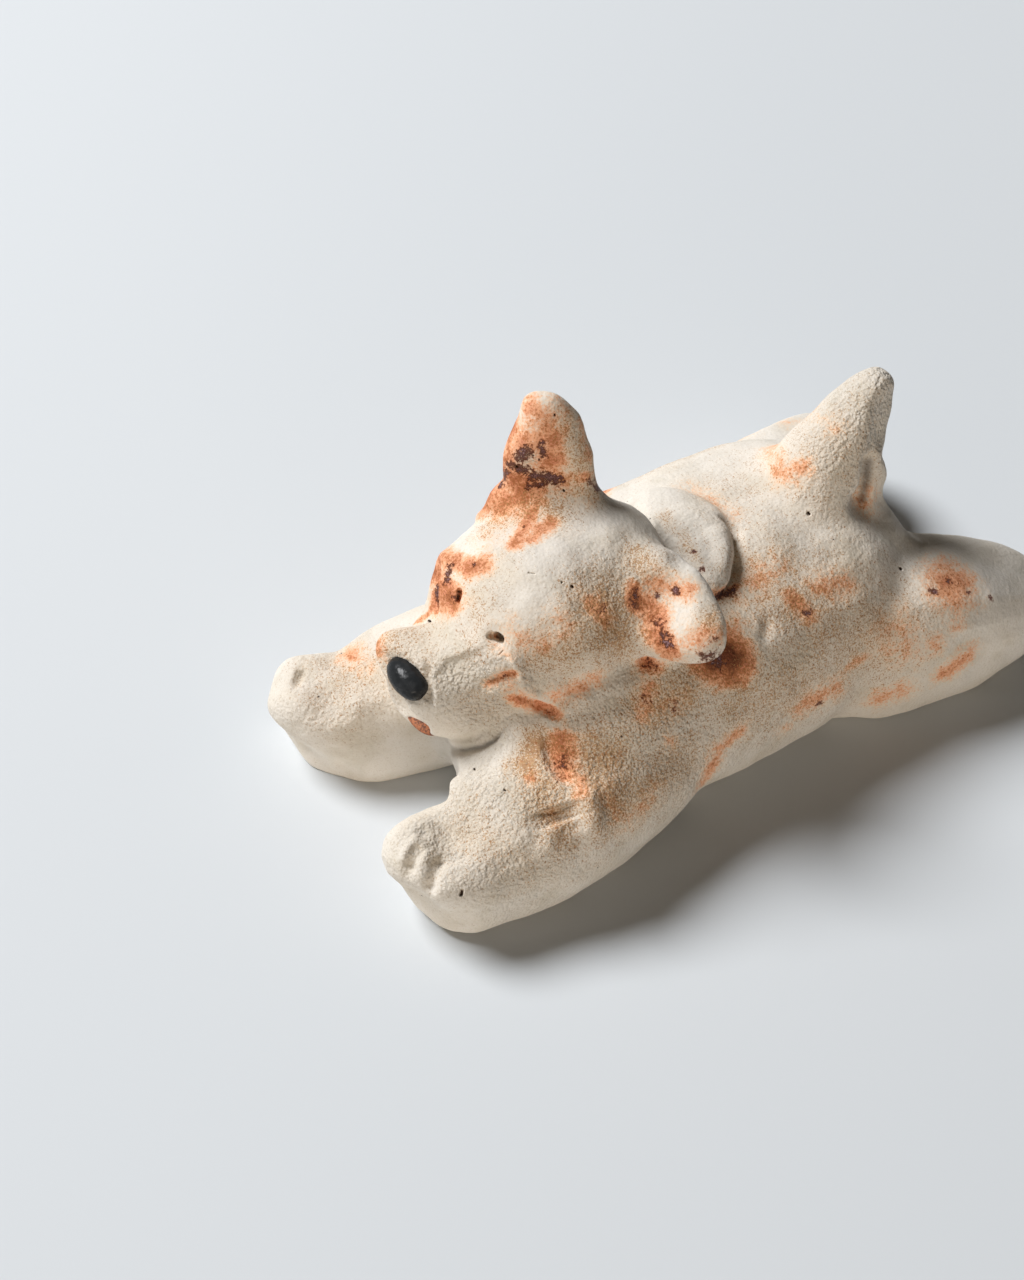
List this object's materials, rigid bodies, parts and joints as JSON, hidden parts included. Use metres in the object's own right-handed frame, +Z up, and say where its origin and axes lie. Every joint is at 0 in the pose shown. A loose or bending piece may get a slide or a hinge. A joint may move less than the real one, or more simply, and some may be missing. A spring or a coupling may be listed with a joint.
{
  "type": "animal figurine",
  "caption": "Hand-built stoneware dog lying flat with its legs stretched out, head raised, one ear up and one drooping.",
  "frame": {"origin": "on the table, under the middle of the figure", "axes": "+Z up, the nose points to -Y, the dog's left side is +X"},
  "size_m": [0.0484, 0.0988, 0.0524],
  "materials": {
    "stoneware": "unglazed, sandy matt cream stoneware with iron spots and rust-coloured patches",
    "black_glaze": "glossy black glaze",
    "iron_clay": "matt iron-red clay"
  },
  "bodies": {
    "root": {"torso": "stoneware", "head": "stoneware", "ear_right": "stoneware", "ear_left": "stoneware", "nose": "black_glaze", "tongue": "iron_clay", "front_leg_left": "stoneware", "front_leg_right": "stoneware", "hind_leg_left": "stoneware", "hind_leg_right": "stoneware", "tail": "stoneware", "scruff_patch": "stoneware"}
  },
  "joints": []
}
